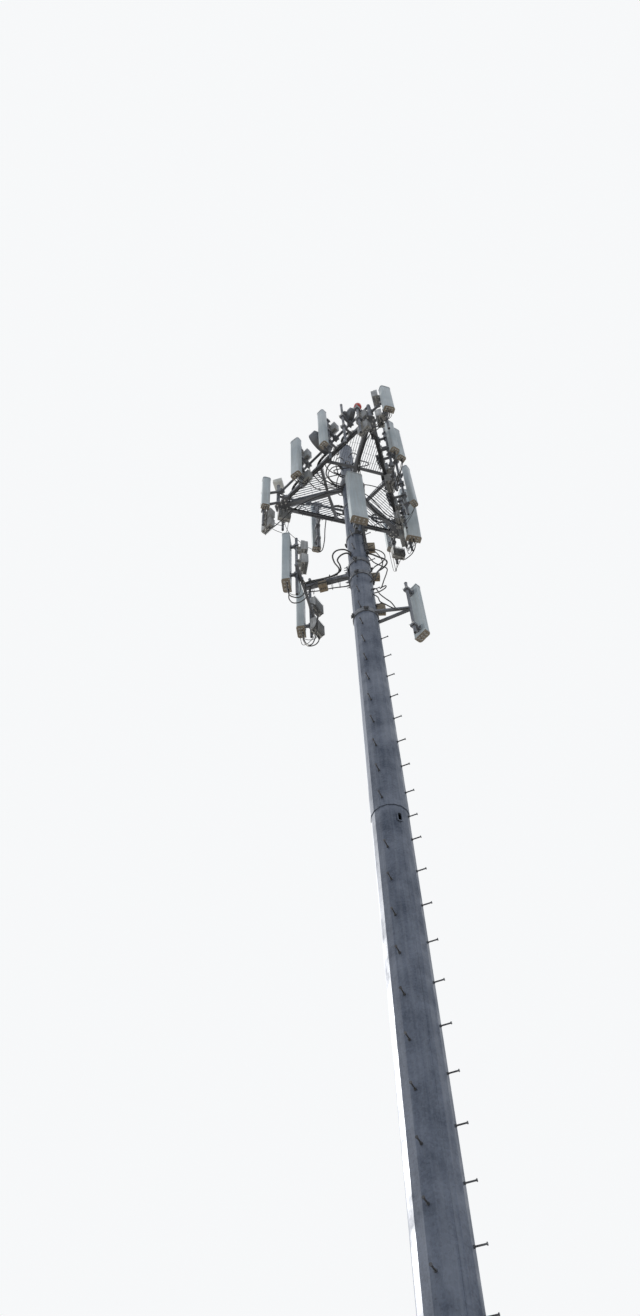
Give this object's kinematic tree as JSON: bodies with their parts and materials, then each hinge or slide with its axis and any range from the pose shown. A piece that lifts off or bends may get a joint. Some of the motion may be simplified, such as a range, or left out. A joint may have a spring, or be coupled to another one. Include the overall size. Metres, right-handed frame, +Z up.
{
  "type": "monopole cell tower",
  "caption": "Tapered sixteen-sided steel monopole with climbing bolts, a triangular antenna platform, two lower antenna arms, panel antennas, radios, dishes and an obstruction light.",
  "frame": {"origin": "centre of the base plate's underside, on the shaft's axis", "axes": "+Z up the shaft; -X towards one corner of the platform; +X towards the middle of the opposite face"},
  "size_m": [3.6983, 3.8967, 25.91],
  "materials": {
    "galvanised_shaft": "weathered hot-dip galvanised steel",
    "galvanised_steel": "galvanised steel, dull grey",
    "bolt_steel": "galvanised bolt, dark grey",
    "grating_steel": "galvanised grating",
    "radome": "light grey radome",
    "radio": "grey powder coat",
    "dish_plastic": "grey paint",
    "red_lens": "red lens",
    "box_paint": "tan paint",
    "cable_jacket": "black cable jacket"
  },
  "bodies": {
    "root": {"base_plate": "galvanised_shaft", "lower_shaft": "galvanised_shaft", "upper_shaft": "galvanised_shaft", "shaft_cap": "galvanised_shaft", "hand_hole_rim": "galvanised_shaft", "port_rim": "galvanised_shaft", "front_step_bolts": "bolt_steel", "side_step_bolts": "bolt_steel", "platform_collar": "galvanised_steel", "platform_arms": "galvanised_steel", "corner_plates": "galvanised_steel", "side_beams": "galvanised_steel", "inner_braces": "galvanised_steel", "left_gratings": "grating_steel", "right_gratings": "grating_steel", "far_gratings": "grating_steel", "left_face_pipe": "galvanised_steel", "right_face_pipe": "galvanised_steel", "far_face_pipe": "galvanised_steel", "corner_posts": "galvanised_steel", "left_antenna_pipes": "galvanised_steel", "right_antenna_pipes": "galvanised_steel", "far_antenna_pipes": "galvanised_steel", "left_brackets": "galvanised_steel", "right_brackets": "galvanised_steel", "far_brackets": "galvanised_steel", "left_panel_1": "radome", "left_panel_2": "radome", "left_panel_3": "radome", "right_panel_1": "radome", "right_panel_2": "radome", "right_panel_3": "radome", "right_panel_4": "radome", "right_panel_5": "radome", "far_panel_1": "radome", "far_panel_2": "radome", "far_panel_3": "radome", "left_radios": "radio", "right_radios": "radio", "far_radios": "radio", "left_dish": "dish_plastic", "small_dish": "dish_plastic", "obstruction_light": "red_lens", "lower_left_collar": "galvanised_steel", "lower_left_arm": "galvanised_steel", "lower_left_pipes": "galvanised_steel", "lower_left_brackets": "galvanised_steel", "lower_left_panel_1": "radome", "lower_left_panel_2": "radome", "lower_left_radios": "radio", "lower_right_arm": "galvanised_steel", "lower_right_brackets": "galvanised_steel", "lower_right_panel": "radome", "front_standoff": "galvanised_steel", "front_panel": "radome", "junction_boxes": "box_paint", "left_cables": "cable_jacket", "right_cables": "cable_jacket", "platform_cables": "cable_jacket"}
  },
  "joints": []
}
